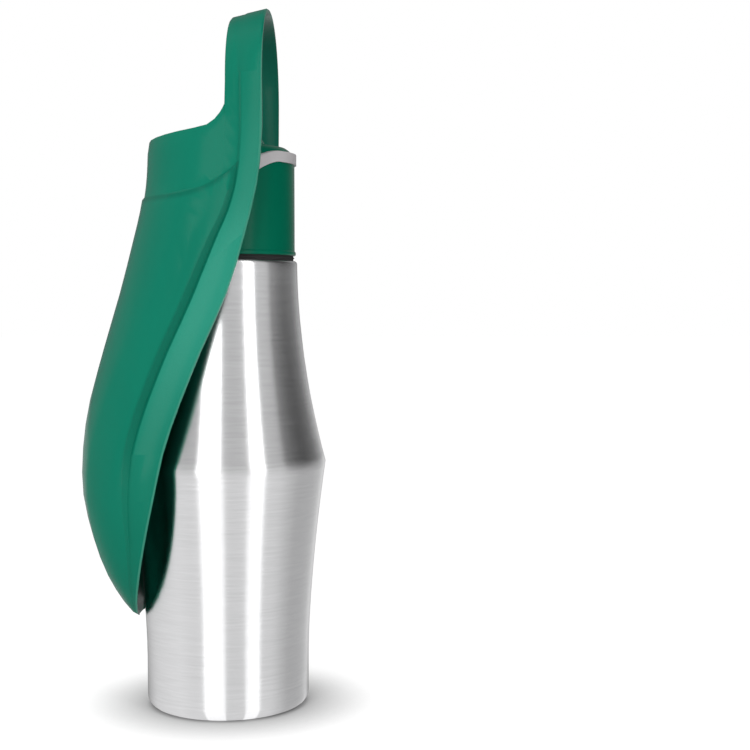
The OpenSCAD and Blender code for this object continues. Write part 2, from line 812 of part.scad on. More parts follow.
module scoop_form() {
    points = concat(
        [for (r = [0:rows - 1], c = [0:cols - 1]) shell_outer(r, c)],
        [for (r = [0:rows - 1], c = [0:cols - 1]) shell_inner(r, c)],
        [for (i = [1:arch_rows - 1], k = [0:nb - 1]) arch_outer(i, k)],
        [for (i = [1:arch_rows - 1], k = [0:nb - 1]) arch_inner(i, k)]
    );
    faces = concat(
        [for (r = [0:rows - 2], c = [0:cols - 2])
            each quad(so(r, c), so(r, c + 1), so(r + 1, c + 1), so(r + 1, c))],
        [for (r = [0:rows - 2], c = [0:cols - 2])
            each quad(si(r, c), si(r + 1, c), si(r + 1, c + 1), si(r, c + 1))],
        [for (r = [0:rows - 2]) each quad(so(r, 0), so(r + 1, 0), si(r + 1, 0), si(r, 0))],
        [for (r = [0:rows - 2])
            each quad(so(r, cols - 1), si(r, cols - 1), si(r + 1, cols - 1), so(r + 1, cols - 1))],
        [for (c = [0:cols - 2]) each quad(so(0, c), si(0, c), si(0, c + 1), so(0, c + 1))],
        [for (c = [nb - 1:cols - 1 - nb])
            each quad(so(rows - 1, c), so(rows - 1, c + 1), si(rows - 1, c + 1), si(rows - 1, c))],
        [for (i = [0:arch_rows - 1], k = [0:nb - 2])
            each quad(ao(i, k), ao(i + 1, k), ao(i + 1, k + 1), ao(i, k + 1))],
        [for (i = [0:arch_rows - 1], k = [0:nb - 2])
            each quad(ai(i, k), ai(i, k + 1), ai(i + 1, k + 1), ai(i + 1, k))],
        [for (i = [0:arch_rows - 1]) each quad(ao(i, 0), ai(i, 0), ai(i + 1, 0), ao(i + 1, 0))],
        [for (i = [0:arch_rows - 1])
            each quad(ao(i, nb - 1), ao(i + 1, nb - 1), ai(i + 1, nb - 1), ai(i, nb - 1))]
    );
    polyhedron(points = points, faces = faces, convexity = 8);
}

// A block inside each arm, with rounded corners, that holds the pin
cheek_low = 9;
cheek_up = 14.6;
cheek_back = 5;
cheek_front = 9;
cheek_round = 3;
cheek_root = 0.55;
module cheek_outline() {
    polygon(concat(
        arc(cheek_low - cheek_round, cheek_back - cheek_round, cheek_round, 0, 90, 6),
        arc(cheek_round - cheek_up, cheek_back - cheek_round, cheek_round, 90, 180, 6),
        arc(cheek_round - cheek_up, cheek_round - cheek_front, cheek_round, 180, 270, 6),
        arc(cheek_low - cheek_round, cheek_round - cheek_front, cheek_round, 270, 360, 6)
    ));
}

module scoop() {
    arm_in = half_width(pivot_z) - arm_flare - loop_t;
    cheek_out = arm_in + cheek_root * loop_t;
    color(pine)
        difference() {
            union() {
                scoop_form();
                for (side = [0, 1])
                    mirror([side, 0, 0]) {
                        translate([cheek_x, 0, pivot_z])
                            rotate([0, 90, 0])
                                linear_extrude(height = cheek_out - cheek_x)
                                    cheek_outline();
                        axle(boss_d / 2, ear_x + boss_gap, cheek_out);
                    }
            }
            for (side = [0, 1])
                mirror([side, 0, 0])
                    axle(pin_r, ear_x, cheek_x + pin_seat);
        }
}

module pivot_pins() {
    color(steel)
        for (side = [0, 1])
            mirror([side, 0, 0])
                axle(pin_r, ear_x - pin_bite, cheek_x + pin_seat);
}

bottle_shell();
base_dish();
neck_gasket();
cap_shell();
cap_liner();
mouth_seal();
collar_seal();
valve_dial();
valve_gasket();
dial_oring();
dial_washer();
dial_screw();
scoop();
pivot_pins();
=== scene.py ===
"""Looks of a dog's travel water bottle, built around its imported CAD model.

The bottle is brushed steel with a green moulded screw cap. A leaf-shaped drinking scoop hangs
behind it on two pins, and ends above the cap in a carrying loop. The CAD nodes give the places and
the sizes. This script gives the pieces their finishes, eases the edges of the mouldings, widens the
scoop's rail, and sets up a pale studio with the camera at the photograph's viewing angle.

Units are metres, +Z is up and the front of the bottle faces -Y.
"""

import logging
import math
from collections.abc import Iterable, Sequence
from dataclasses import dataclass, field
from enum import Enum

import bpy
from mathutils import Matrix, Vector


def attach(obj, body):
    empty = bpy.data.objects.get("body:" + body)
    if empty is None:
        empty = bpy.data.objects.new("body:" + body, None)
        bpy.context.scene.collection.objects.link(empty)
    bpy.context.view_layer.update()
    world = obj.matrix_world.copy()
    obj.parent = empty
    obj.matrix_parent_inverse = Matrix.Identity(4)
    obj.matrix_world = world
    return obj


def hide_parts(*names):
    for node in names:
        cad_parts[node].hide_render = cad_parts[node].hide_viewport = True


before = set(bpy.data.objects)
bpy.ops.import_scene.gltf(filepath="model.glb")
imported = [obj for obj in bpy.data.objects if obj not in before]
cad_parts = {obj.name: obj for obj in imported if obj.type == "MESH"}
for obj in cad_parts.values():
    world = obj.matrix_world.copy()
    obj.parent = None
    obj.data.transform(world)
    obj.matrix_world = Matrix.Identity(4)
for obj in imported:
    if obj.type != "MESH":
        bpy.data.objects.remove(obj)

MM = 0.001
log = logging.getLogger("bottle")

Colour = tuple[float, float, float]
Scale = tuple[float, float, float]
Table = tuple[tuple[float, float], ...]


class Body(Enum):
    """The moving bodies that the new pieces ride on."""

    BOTTLE = "bottle"
    CAP = "cap"
    DIAL = "dial"
    SCOOP = "scoop"


class Slot(Enum):
    """The record's material slots."""

    STEEL = "steel"
    SCOOP_GREEN = "scoop_green"
    CAP_GREEN = "cap_green"
    DIAL_GREEN = "dial_green"
    NATURAL_PLASTIC = "natural_plastic"
    SILICONE = "silicone"
    BLACK_RUBBER = "black_rubber"


# ---- Shader maths ----


class Wire:
    """A shader value that adds Math nodes when Python arithmetic is done on it."""

    def __init__(self, recipe: "Recipe", socket: bpy.types.NodeSocket) -> None:
        """Wraps one output socket.

        Args:
            recipe: The node tree's builder.
            socket: The output socket that carries the value.
        """
        self.recipe = recipe
        self.socket = socket

    def _math(self, operation: str, first: "Wire | float", second: "Wire | float") -> "Wire":
        """Adds one Math node.

        Args:
            operation: The Math node's operation.
            first: Its first value.
            second: Its second value.

        Returns:
            The node's result.
        """
        return self.recipe.value("ShaderNodeMath", {"operation": operation}, {0: first, 1: second})

    def __add__(self, other: "Wire | float") -> "Wire":
        """Returns this value plus another."""
        return self._math("ADD", self, other)

    def __radd__(self, other: float) -> "Wire":
        """Returns a number plus this value."""
        return self._math("ADD", other, self)

    def __sub__(self, other: "Wire | float") -> "Wire":
        """Returns this value less another."""
        return self._math("SUBTRACT", self, other)

    def __rsub__(self, other: float) -> "Wire":
        """Returns a number less this value."""
        return self._math("SUBTRACT", other, self)

    def __mul__(self, other: "Wire | float") -> "Wire":
        """Returns this value times another."""
        return self._math("MULTIPLY", self, other)

    def __truediv__(self, other: "Wire | float") -> "Wire":
        """Returns this value over another."""
        return self._math("DIVIDE", self, other)

    def __rtruediv__(self, other: float) -> "Wire":
        """Returns a number over this value."""
        return self._math("DIVIDE", other, self)


class Recipe:
    """Builds one node tree, a node at a time."""

    def __init__(self, tree: bpy.types.NodeTree) -> None:
        """Empties a node tree.

        Args:
            tree: The tree of a material or of the world.
        """
        self.tree = tree
        tree.nodes.clear()

    def node(
        self, kind: str, settings: dict | None = None, sockets: dict | None = None
    ) -> bpy.types.Node:
        """Adds one node.

        Args:
            kind: The node's type.
            settings: Its own settings, set first. "stops" holds a ramp's (place, grey) pairs, and
                "points" a curve's (place, value) pairs.
            sockets: Values or links by the name or number of the input socket.

        Returns:
            The new node.
        """
        made = self.tree.nodes.new(kind)
        for name, value in (settings or {}).items():
            if name == "stops":
                self._set_stops(made.color_ramp, value)
            elif name == "points":
                self._set_points(made.mapping, value)
            else:
                setattr(made, name, value)
        for name, value in (sockets or {}).items():
            self.plug(made.inputs[name], value)
        return made

    def value(
        self,
        kind: str,
        settings: dict | None = None,
        sockets: dict | None = None,
        out: int | str = 0,
    ) -> Wire:
        """Adds one node and returns one of its outputs.

        Args:
            kind: The node's type.
            settings: Its own settings.
            sockets: Values or links by input socket.
            out: The name or number of the output.

        Returns:
            The output, ready for arithmetic.
        """
        return Wire(self, self.node(kind, settings, sockets).outputs[out])

    def plug(
        self,
        socket: bpy.types.NodeSocket,
        value: "Wire | bpy.types.NodeSocket | float | Sequence[float]",
    ) -> None:
        """Sets an input socket, or links it.

        Args:
            socket: The input.
            value: A wire or socket to link, or a plain value to set.
        """
        if isinstance(value, Wire):
            self.tree.links.new(value.socket, socket)
        elif isinstance(value, bpy.types.NodeSocket):
            self.tree.links.new(value, socket)
        else:
            socket.default_value = value

    @staticmethod
    def _set_stops(ramp: bpy.types.ColorRamp, stops: Iterable[tuple[float, float]]) -> None:
        """Sets a ramp's stops.

        Args:
            ramp: The ramp.
            stops: Pairs of place and grey level, in order.
        """
        while len(ramp.elements) > 1:
            ramp.elements.remove(ramp.elements[-1])
        for index, (place, grey) in enumerate(stops):
            element = ramp.elements[0] if index == 0 else ramp.elements.new(place)
            element.position = place
            element.color = (grey, grey, grey, 1)

    @staticmethod
    def _set_points(mapping: bpy.types.CurveMapping, points: Sequence[tuple[float, float]]) -> None:
        """Sets a curve's points.

        Args:
            mapping: The curve's mapping.
            points: Pairs of place and value, in order.
        """
        curve = mapping.curves[0]
        for index, point in enumerate(points):
            if index < len(curve.points):
                curve.points[index].location = point
            else:
                curve.points.new(*point)
        mapping.update()

    def lookup(self, at: Wire, table: Table) -> Wire:
        """Returns the value that a smooth curve through a table has at a place.

        Args:
            at: The place, in the table's own measure.
            table: Pairs of place and value, in order.

        Returns:
            The value there; past the table's ends it stays as it is.
        """
        low, high = table[0][0], table[-1][0]
        least, most = min(value for _, value in table), max(value for _, value in table)
        span, reach = high - low, most - least
        points = [((place - low) / span, (value - least) / reach) for place, value in table]
        share = self.value("ShaderNodeFloatCurve", {"points": points}, {"Value": (at - low) / span})
        return share * reach + least

    def rise(self, at: Wire, low: float, high: float) -> Wire:
        """Returns a mask that goes from 0 to 1 as a value goes from low to high.

        Args:
            at: The value.
            low: Where the mask starts to rise.
            high: Where it reaches 1. It may lie below low, for a mask that falls.

        Returns:
            The mask.
        """
        return self.value(
            "ShaderNodeMapRange",
            {"interpolation_type": "SMOOTHSTEP"},
            {"Value": at, "From Min": low, "From Max": high, "To Min": 0.0, "To Max": 1.0},
        )

    def place(self, scale: Sequence[float]) -> Wire:
        """Returns the point on the piece, stretched.

        Args:
            scale: The factor along each axis.

        Returns:
            The stretched Object coordinates.
        """
        point = self.value("ShaderNodeTexCoord", out="Object")
        return self.value(
            "ShaderNodeMapping", {"vector_type": "POINT"}, {"Vector": point, "Scale": scale}
        )

    def noise(self, scale: Sequence[float], detail: float = 2.0, roughness: float = 0.5) -> Wire:
        """Returns fractal noise from 0 to 1.

        Args:
            scale: Its frequency along each axis, in cycles a metre.
            detail: How many finer layers it has.
            roughness: How strong the finer layers are.

        Returns:
            The noise's value.
        """
        return self.value(
            "ShaderNodeTexNoise",
            {"noise_dimensions": "3D"},
            {"Vector": self.place(scale), "Scale": 1.0, "Detail": detail, "Roughness": roughness},
        )

    def tint(self, dark: "Wire | Colour", light: "Wire | Colour", factor: Wire) -> Wire:
        """Returns a colour between two.

        Args:
            dark: The colour where the factor is 0.
            light: The colour where the factor is 1.
            factor: The share of the second colour.

        Returns:
            The mixed colour.
        """
        ends = [end if isinstance(end, Wire) else (*end, 1) for end in (dark, light)]
        return self.value(
            "ShaderNodeMix", {"data_type": "RGBA"}, {0: factor, 6: ends[0], 7: ends[1]}, out=2
        )

    def mixed(self, factor: Wire, first: bpy.types.Node, second: bpy.types.Node) -> bpy.types.Node:
        """Adds a mix of two shaders.

        Args:
            factor: The share of the second shader.
            first: The shader where the factor is 0.
            second: The shader where it is 1.

        Returns:
            The Mix Shader node.
        """
        ends = {0: factor, 1: first.outputs[0], 2: second.outputs[0]}
        return self.node("ShaderNodeMixShader", None, ends)

    def bump(self, height: Wire, distance: float, under: Wire | None = None) -> Wire:
        """Returns a normal that follows a height.

        Args:
            height: The height, from 0 to 1.
            distance: How deep a height of 1 is, in metres.
            under: The normal that it lies on, or none for the bare surface.

        Returns:
            The bumped normal.
        """
        sockets = {"Height": height, "Distance": distance, "Strength": 1.0}
        if under is not None:
            sockets["Normal"] = under
        return self.value("ShaderNodeBump", None, sockets)


# ---- Finishes ----


def shade(colour: Colour, factor: float) -> Colour:
    """Returns a colour made darker or lighter by a factor."""
    return tuple(min(1.0, channel * factor) for channel in colour)


@dataclass(frozen=True)
class Finish:
    """What every finish has: its name, slot, colour and gloss."""

    name: str
    slot: Slot
    colour: Colour
    roughness: float

    def material(self) -> bpy.types.Material:
        """Returns this finish's material, made once.

        Returns:
            The material.
        """
        found = bpy.data.materials.get(self.name)
        if found:
            return found
        made = bpy.data.materials.new(self.name)
        made.use_nodes = True
        recipe = Recipe(made.node_tree)
        shader = recipe.node("ShaderNodeBsdfPrincipled", None, {"Roughness": self.roughness})
        self.dress(recipe, shader)
        recipe.node("ShaderNodeOutputMaterial", None, {"Surface": shader.outputs[0]})
        return made

    def dress(self, recipe: Recipe, shader: bpy.types.Node) -> None:
        """Fills in the shader; each kind of finish has its own way."""
        raise NotImplementedError

    def vary(self, recipe: Recipe, shader: bpy.types.Node, factor: Wire, spread: float) -> None:
        """Gives the base colour a slight unevenness.

        Args:
            recipe: The material's builder.
            shader: The principled shader.
            factor: Where the colour is lighter, from 0 to 1.
            spread: How far it strays to either side, as a share.
        """
        recipe.plug(shader.inputs["Base Color"], self.uneven(recipe, factor, spread))

    def uneven(self, recipe: Recipe, factor: Wire, spread: float) -> Wire:
        """Returns this finish's colour, a little darker and lighter by a factor from 0 to 1."""
        return recipe.tint(shade(self.colour, 1 - spread), shade(self.colour, 1 + spread), factor)

    def roughen(self, recipe: Recipe, shader: bpy.types.Node, factor: Wire, spread: float) -> None:
        """Varies the roughness about this finish's own.

        Args:
            recipe: The material's builder.
            shader: The principled shader.
            factor: Where it is rougher, from 0 to 1.
            spread: How much rougher the roughest place is than the smoothest.
        """
        recipe.plug(shader.inputs["Roughness"], self.roughness + (factor - 0.5) * spread)


@dataclass(frozen=True)
class BrushedSteel(Finish):
    """Steel brushed round the bottle, so that a lamp's reflection is drawn out up and down."""

    anisotropy: float = 0.93
    lines_per_metre: float = 1300.0
    around_per_metre: float = 60.0
    line_share: float = 0.8
    colour_spread: float = 0.13
    roughness_spread: float = 0.05
    scratch_depth: float = 8e-6

    def dress(self, recipe: Recipe, shader: bpy.types.Node) -> None:
        """Adds the brushed lines and the faint bands between them.

        Args:
            recipe: The material's builder.
            shader: The principled shader.
        """
        around, up = self.around_per_metre, self.lines_per_metre
        lines = recipe.noise((around, around, up), detail=3.0, roughness=0.65)
        bands = recipe.noise((around / 3, around / 3, up / 8), detail=1.0)
        mixed = lines * self.line_share + bands * (1 - self.line_share)
        self.vary(recipe, shader, mixed, self.colour_spread)
        self.roughen(recipe, shader, lines, self.roughness_spread)
        recipe.plug(shader.inputs["Normal"], recipe.bump(lines, self.scratch_depth))
        shader.inputs["Metallic"].default_value = 1.0
        shader.inputs["Anisotropic"].default_value = self.anisotropy
        shader.inputs["Anisotropic Rotation"].default_value = 0.25


@dataclass(frozen=True)
class TurnedSteel(Finish):
    """The plain bright steel of pins, washers and screws."""

    marks_per_metre: float = 900.0
    haze_per_metre: float = 120.0
    colour_spread: float = 0.08
    roughness_spread: float = 0.15

    def dress(self, recipe: Recipe, shader: bpy.types.Node) -> None:
        """Adds fine turning marks and handling haze.

        Args:
            recipe: The material's builder.
            shader: The principled shader.
        """
        marks = recipe.noise((self.marks_per_metre,) * 3, detail=4.0)
        haze = recipe.noise((self.haze_per_metre,) * 3)
        self.vary(recipe, shader, haze, self.colour_spread)
        self.roughen(recipe, shader, marks, self.roughness_spread)
        shader.inputs["Metallic"].default_value = 1.0


@dataclass(frozen=True)
class MouldedPlastic(Finish):
    """Satin moulded plastic with a fine spark-etched grain and slow flow marks."""

    grain_per_metre: float = 2400.0
    grain_depth: float = 5e-6
    grain_roughness: float = 0.12
    flow_scale: Scale = (22.0, 22.0, 9.0)
    flow_depth: float = 3e-5
    flow_roughness: float = 0.1
    cloud_scale: Scale = (60.0, 60.0, 30.0)
    colour_spread: float = 0.06
    gloss: float = 0.07

    def dress(self, recipe: Recipe, shader: bpy.types.Node) -> None:
        """Adds the grain, the flow marks and a slight unevenness of the colour.

        Args:
            recipe: The material's builder.
            shader: The principled shader.
        """
        grain = recipe.noise((self.grain_per_metre,) * 3, detail=2.0)
        flow = recipe.noise(self.flow_scale, detail=1.5)
        cloud = recipe.noise(self.cloud_scale, detail=3.0)
        even = self.uneven(recipe, cloud, self.colour_spread)
        recipe.plug(shader.inputs["Base Color"], self.with_painted_light(recipe, even, grain))
        by_grain = (grain - 0.5) * self.grain_roughness
        by_flow = (flow - 0.5) * self.flow_roughness
        recipe.plug(shader.inputs["Roughness"], self.roughness + by_grain + by_flow)
        shape = recipe.bump(flow, self.flow_depth)
        recipe.plug(shader.inputs["Normal"], recipe.bump(grain, self.grain_depth, under=shape))
        shader.inputs["Specular IOR Level"].default_value = self.gloss

    def with_painted_light(self, recipe: Recipe, colour: Wire, grain: Wire) -> Wire:
        """Returns the colour with its painted light and shade; a plain moulding has none.

        Args:
            recipe: The material's builder.
            colour: The even colour.
            grain: The surface's grain.

        Returns:
            The colour with its painted light and shade.
        """
        return colour


@dataclass(frozen=True)
class ScoopForm:
    """The scoop's lines in the side view, in millimetres, as in the CAD.

    edge_line is how far back the front edge lies by height, cad_rail how deep the CAD's rail is
    behind it, and rail_depth how deep the finished rail is, which widens down the leaf. step_line
    is the height of the collar's step by depth. Behind the rail, a groove of groove_width stretches
    by up to groove_spread, reached where the rail grows by full_spread, and points past settled
    stay where they are. The groove is cut valley_depth deeper from valley_from to valley_to behind
    the CAD's rail, where the leaf is further than side_from from its middle. lean_back keeps the
    middle of the leaf's opening a little in front of its edges, for what faces out of it.
    """

    edge_line: Table = (
        (36.0, 36.5), (54.9, 32.3), (73.0, 28.1), (91.2, 23.9), (109.3, 19.9), (118.4, 17.0),
        (127.5, 13.7), (136.6, 10.2), (145.6, 6.6), (154.7, 2.6), (163.8, -1.55), (172.9, -5.3),
        (182.0, -8.3), (191.0, -10.9), (200.1, -13.35), (209.2, -15.6), (218.2, -17.3),
        (227.3, -18.1), (240.0, -18.7), (290.0, -18.7),
    )
    cad_rail: Table = (
        (36.0, 0.2), (45.8, 1.4), (54.9, 2.7), (64.0, 3.9), (73.0, 5.0), (82.1, 5.9), (91.2, 6.6),
        (109.3, 7.4), (127.5, 8.1), (138.0, 8.2), (290.0, 8.2),
    )
    rail_depth: Table = (
        (36.0, 0.2), (45.8, 1.4), (54.9, 2.7), (64.0, 3.9), (73.0, 5.6), (82.1, 7.6), (91.2, 9.4),
        (109.3, 11.8), (127.5, 12.6), (172.0, 12.6), (182.0, 11.9), (192.0, 10.7), (203.0, 8.8),
        (210.0, 8.2), (290.0, 8.2),
    )
    step_line: Table = (
        (-20.0, 224.2), (-16.0, 224.1), (-9.6, 222.8), (-6.5, 220.3), (-3.3, 218.0), (0.0, 216.0),
        (5.0, 213.6), (10.0, 212.0), (15.0, 211.1), (25.0, 210.4), (40.0, 210.3),
    )
    groove_width: float = 2.8
    groove_spread: float = 1.45
    full_spread: float = 4.0
    least_change: float = 0.01
    settled: float = 22.3
    side_from: float = 30.0
    valley_from: float = 0.35
    valley_to: float = 1.5
    valley_depth: float = 0.5
    arch_height: float = 253.6
    lean_back: float = 8.0

    @staticmethod
    def at(table: Table, place: float) -> float:
        """Returns a table's value at a place, on straight lines between its rows."""
        if place <= table[0][0]:
            return table[0][1]
        for (low, first), (high, second) in zip(table, table[1:]):
            if place <= high:
                return first + (second - first) * (place - low) / (high - low)
        return table[-1][1]

    def moved(self, behind: float, height: float) -> float:
        """Returns where a point behind the front edge goes as the rail widens.

        Args:
            behind: How far behind the edge the point lies.
            height: Its height.

        Returns:
            How far behind the edge it lies afterwards.
        """
        old, new = self.at(self.cad_rail, height), self.at(self.rail_depth, height)
        if new - old < self.least_change or behind <= 0 or behind >= self.settled:
            return behind
        if behind <= old:
            return behind * new / old
        stretch = 1 + (self.groove_spread - 1) * min(1.0, (new - old) / self.full_spread)
        groove_end = new + self.groove_width * stretch
        if behind <= old + self.groove_width:
            return new + (behind - old) * stretch
        share = (behind - old - self.groove_width) / (self.settled - old - self.groove_width)
        return groove_end + (self.settled - groove_end) * share


SCOOP_FORM = ScoopForm()
FACES_OUT = "faces_out"


@dataclass(frozen=True)
class ScoopPlastic(MouldedPlastic):
    """The scoop's plastic, with a painted sheen on its rail, a painted highlight along its front
    edge and painted shade in its grooves and inside.

    The first field says how much painted sheen the rail has by height in millimetres. The tones are
    painted light and shade; the plastic itself is one colour.
    """

    rail_painted_sheen: Table = (
        (75.0, 0.0), (97.0, 0.1), (129.0, 0.5), (150.0, 0.85), (170.0, 1.0), (190.0, 0.9),
        (208.0, 0.5), (235.0, 0.25), (262.0, 0.0),
    )
    outside_from: float = -0.6
    outside_to: float = -0.1
    # The rail's colour is a painted sheen and the edge's a painted highlight; the groove and inside
    # factors darken the colour as painted shade.
    rail_sheen_colour: Colour = (0.026, 0.296, 0.204)
    edge_highlight_colour: Colour = (0.050, 0.290, 0.200)
    groove_painted_shade: float = 0.80
    inside_painted_shade: float = 0.55

    def with_painted_light(self, recipe: Recipe, colour: Wire, grain: Wire) -> Wire:
        """Returns the colour with a painted sheen on the rail, a painted highlight along its edge,
        and painted shade in the grooves, under the collar's step and inside.

        Args:
            recipe: The material's builder.
            colour: The even colour.
            grain: The surface's grain.

        Returns:
            The colour with its painted light and shade.
        """
        form = SCOOP_FORM
        parts = recipe.node("ShaderNodeSeparateXYZ", None, {0: recipe.place((1 / MM,) * 3)})
        _, back, height = (Wire(recipe, socket) for socket in parts.outputs)
        facing = recipe.value("ShaderNodeAttribute", {"attribute_name": FACES_OUT}, out="Fac")
        outside = recipe.rise(facing, self.outside_from, self.outside_to)
        behind = back - recipe.lookup(height, form.edge_line)
        share = behind / recipe.lookup(height, form.rail_depth)
        # Painted sheen: the rail is paler by height, broken up a little by the grain.
        rail = recipe.rise(share, 1.02, 0.98) * recipe.lookup(height, self.rail_painted_sheen)
        rail = rail * (0.7 + grain * 0.6)
        # Painted highlight: a thin pale band along the front edge, fading out between 262 and 275
        # mm high.
        edge_highlight = recipe.rise(behind, 0.9, 0.4) * recipe.rise(height, 275.0, 262.0)
        # Painted shade: darker in the groove behind the rail and in a band just under the collar's
        # step.
        below = recipe.lookup(back, form.step_line) - height
        groove = recipe.rise(share, 0.98, 1.06) * recipe.rise(share, 1.42, 1.28)
        groove = groove * recipe.rise(height, 80.0, 130.0) * recipe.rise(below, -0.5, 1.0)
        lip_shade = recipe.rise(below, 0.0, 0.8) * recipe.rise(below, 3.4, 1.2)
        lip_shade = lip_shade * recipe.rise(share, 1.0, 1.1)
        # Painted shade: the inside of the scoop is darker; the painted shade, sheen and highlight
        # follow on its outside.
        inside_shaded = recipe.tint(shade(self.colour, self.inside_painted_shade), colour, outside)
        dark = shade(self.colour, self.groove_painted_shade)
        sunk = recipe.tint(inside_shaded, dark, (groove + lip_shade) * outside)
        raised = recipe.tint(sunk, self.rail_sheen_colour, rail * outside)
        return recipe.tint(raised, self.edge_highlight_colour, edge_highlight * outside)


@dataclass(frozen=True)
class Silicone(Finish):
    """Soft silicone: matt, with a fine skin and light that goes a little way in."""

    skin_per_metre: float = 1500.0
    skin_depth: float = 1.2e-5
    cloud_per_metre: float = 140.0
    colour_spread: float = 0.07
    roughness_spread: float = 0.2
    light_goes_in: float = 0.15
    how_far: Colour = (0.002, 0.0016, 0.0016)

    def dress(self, recipe: Recipe, shader: bpy.types.Node) -> None:
        """Adds the soft skin.

        Args:
            recipe: The material's builder.
            shader: The principled shader.
        """
        skin = recipe.noise((self.skin_per_metre,) * 3, detail=3.0)
        cloud = recipe.noise((self.cloud_per_metre,) * 3, detail=2.0)
        self.vary(recipe, shader, cloud, self.colour_spread)
        self.roughen(recipe, shader, skin, self.roughness_spread)
        recipe.plug(shader.inputs["Normal"], recipe.bump(skin, self.skin_depth))
        shader.inputs["Subsurface Weight"].default_value = self.light_goes_in
        shader.inputs["Subsurface Radius"].default_value = self.how_far


@dataclass(frozen=True)
class Rubber(Finish):
    """Black rubber with a dull bloom."""

    pits_per_metre: float = 1800.0
    pit_depth: float = 1.5e-5
    bloom_per_metre: float = 90.0
    colour_spread: float = 0.3
    roughness_spread: float = 0.2

    def dress(self, recipe: Recipe, shader: bpy.types.Node) -> None:
        """Adds the bloom and the fine pitting.

        Args:
            recipe: The material's builder.
            shader: The principled shader.
        """
        pits = recipe.noise((self.pits_per_metre,) * 3, detail=3.0)
        bloom = recipe.noise((self.bloom_per_metre,) * 3, detail=2.0)
        self.vary(recipe, shader, bloom, self.colour_spread)
        self.roughen(recipe, shader, bloom, self.roughness_spread)
        recipe.plug(shader.inputs["Normal"], recipe.bump(pits, self.pit_depth))


STEEL = BrushedSteel("brushed_steel", Slot.STEEL, (0.80, 0.80, 0.81), 0.26)
PIN_STEEL = TurnedSteel("turned_steel", Slot.STEEL, (0.60, 0.60, 0.61), 0.28)
SCOOP_GREEN = ScoopPlastic("scoop_green_moulding", Slot.SCOOP_GREEN, (0.005, 0.196, 0.124), 0.20)
CAP_GREEN = MouldedPlastic("cap_green_moulding", Slot.CAP_GREEN, (0.0005, 0.142, 0.080), 0.20)
DIAL_GREEN = MouldedPlastic("dial_green_moulding", Slot.DIAL_GREEN, (0.001, 0.155, 0.091), 0.20)
MILKY = Silicone("natural_moulding", Slot.NATURAL_PLASTIC, (0.74, 0.76, 0.70), 0.40)
PALE_SILICONE = Silicone("pale_silicone", Slot.SILICONE, (0.57, 0.55, 0.56), 0.45)
BLACK_RUBBER = Rubber("black_rubber", Slot.BLACK_RUBBER, (0.005, 0.005, 0.005), 0.5)


# ---- Pieces ----


def only(piece: bpy.types.Object) -> None:
    """Selects one piece and makes it active.

    Args:
        piece: The piece to work on.
    """
    bpy.ops.object.select_all(action="DESELECT")
    piece.hide_set(False)
    piece.select_set(True)
    bpy.context.view_layer.objects.active = piece


def wear(piece: bpy.types.Object, finish: Finish) -> None:
    """Gives a piece one finish all over.

    Args:
        piece: The piece, or a CAD node.
        finish: What it is made of.
    """
    material = finish.material()
    if not piece.material_slots:
        piece.data.materials.append(material)
    for slot in piece.material_slots:
        slot.material = material


@dataclass
class Assembly:
    """A group of pieces that are made and dressed together.

    Points closer than weld, in metres, are joined, and flat pairs of triangles become quads where
    they meet within flat_within and shape_within degrees.
    """

    weld: float = 0.004 * MM
    flat_within: float = 12.0
    shape_within: float = 60.0
    made: list[str] = field(default_factory=list, init=False)

    def dress_node(self, node: str, finish: Finish) -> None:
        """Gives a CAD node its finish.

        Args:
            node: The node's name.
            finish: What it is made of.
        """
        wear(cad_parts[node], finish)
        self.made.append(node)

    def reshape(self, piece: bpy.types.Object) -> None:
        """Moves a twin's points before its edges are eased; most pieces need none of it."""

    def soften(
        self,
        node: str,
        name: str,
        body: Body,
        finish: Finish,
        angle: float = 32.0,
        edge: float = 0.0,
    ) -> bpy.types.Object:
        """Makes a smooth-shaded twin of a CAD node, with its hard edges eased, that stands for it.

        Args:
            node: The CAD node.
            name: The new piece's name.
            body: The body that it moves with.
            finish: What it is made of.
            angle: Faces that meet at a smaller angle are shaded as one surface, in degrees.
            edge: The radius of the eased edges in metres, or 0 for none.

        Returns:
            The new piece.
        """
        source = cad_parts[node]
        only(source)
        bpy.ops.object.duplicate()
        piece = bpy.context.view_layer.objects.active
        piece.name = name
        piece.data.name = name
        for key in list(piece.keys()):
            del piece[key]
        piece.parent = None
        only(piece)
        bpy.ops.object.mode_set(mode="EDIT")
        bpy.ops.mesh.select_all(action="SELECT")
        bpy.ops.mesh.customdata_custom_splitnormals_clear()
        bpy.ops.mesh.remove_doubles(threshold=self.weld)
        bpy.ops.mesh.tris_convert_to_quads(
            face_threshold=math.radians(self.flat_within),
            shape_threshold=math.radians(self.shape_within),
        )
        bpy.ops.object.mode_set(mode="OBJECT")
        self.reshape(piece)
        if edge:
            bevel = piece.modifiers.new("eased_edges", "BEVEL")
            bevel.limit_method = "ANGLE"
            bevel.angle_limit = math.radians(angle)
            bevel.width = edge
            bevel.segments = 2
            bevel.use_clamp_overlap = True
            bpy.ops.object.modifier_apply(modifier=bevel.name)
        bpy.ops.object.shade_smooth_by_angle(angle=math.radians(angle))
        wear(piece, finish)
        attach(piece, body.value)
        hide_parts(node)
        self.made.append(name)
        return piece

    def report(self) -> None:
        """Logs the pieces of this group."""
        for name in self.made:
            log.info("%s: %s", type(self).__name__, name)


@dataclass
class Bottle(Assembly):
    """The steel bottle and its welded base."""

    def build(self) -> None:
        """Makes and dresses the pieces."""
        self.soften("bottle_shell", "steel_body", Body.BOTTLE, STEEL, angle=24)
        self.soften("base_dish", "steel_base", Body.BOTTLE, STEEL)


